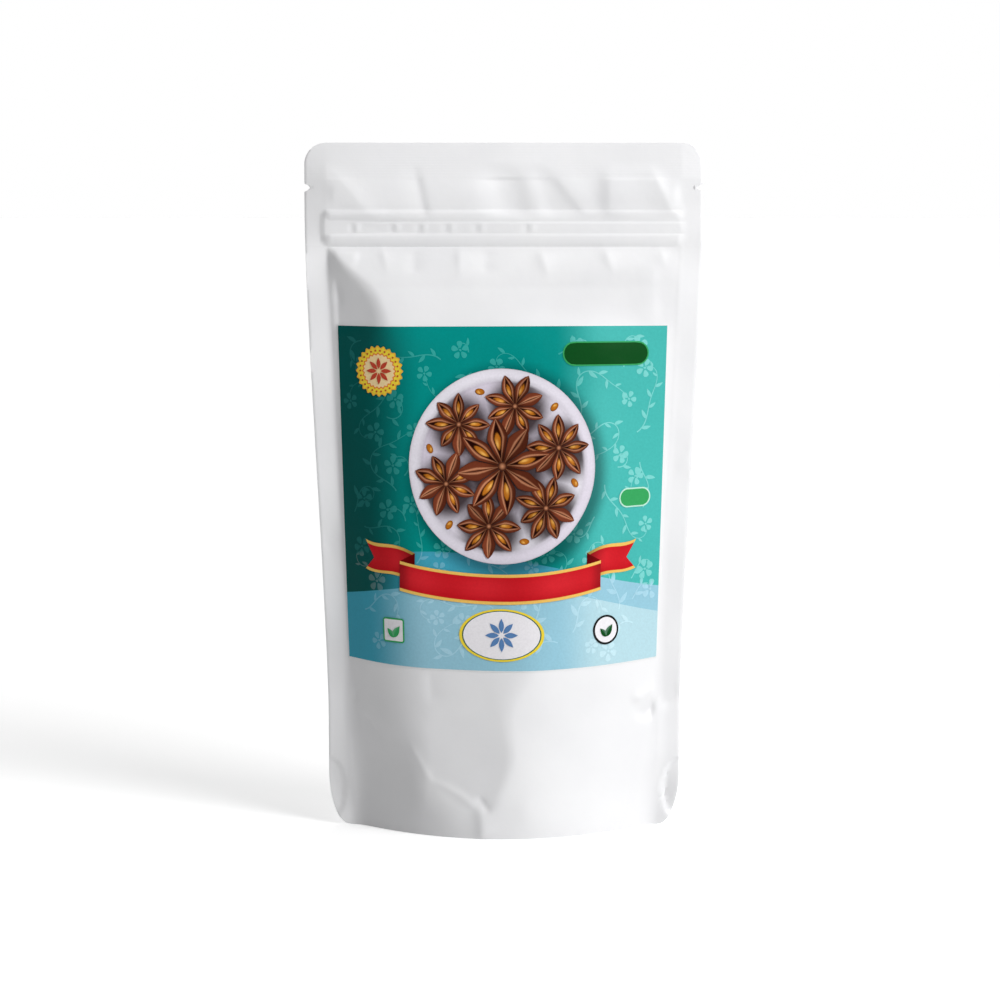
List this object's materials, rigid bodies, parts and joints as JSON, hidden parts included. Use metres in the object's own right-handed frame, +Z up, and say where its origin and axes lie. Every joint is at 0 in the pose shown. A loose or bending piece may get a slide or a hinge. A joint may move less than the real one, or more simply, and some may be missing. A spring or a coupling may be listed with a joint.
{
  "type": "stand-up zip pouch",
  "caption": "Filled stand-up spice pouch with sealed edges, a press-to-close zip, tear notches, a gusseted base and a coloured front label; it stands upright by itself.",
  "frame": {"origin": "middle of the base, on the surface that the pouch stands on", "axes": "+Z up, front panel with the label facing -Y, X along the width"},
  "size_m": [0.13, 0.055, 0.225],
  "materials": {
    "film": "white satin laminate film",
    "label_paper": "printed satin coated label"
  },
  "bodies": {
    "root": {"pouch": "film", "label": "label_paper"}
  },
  "joints": []
}
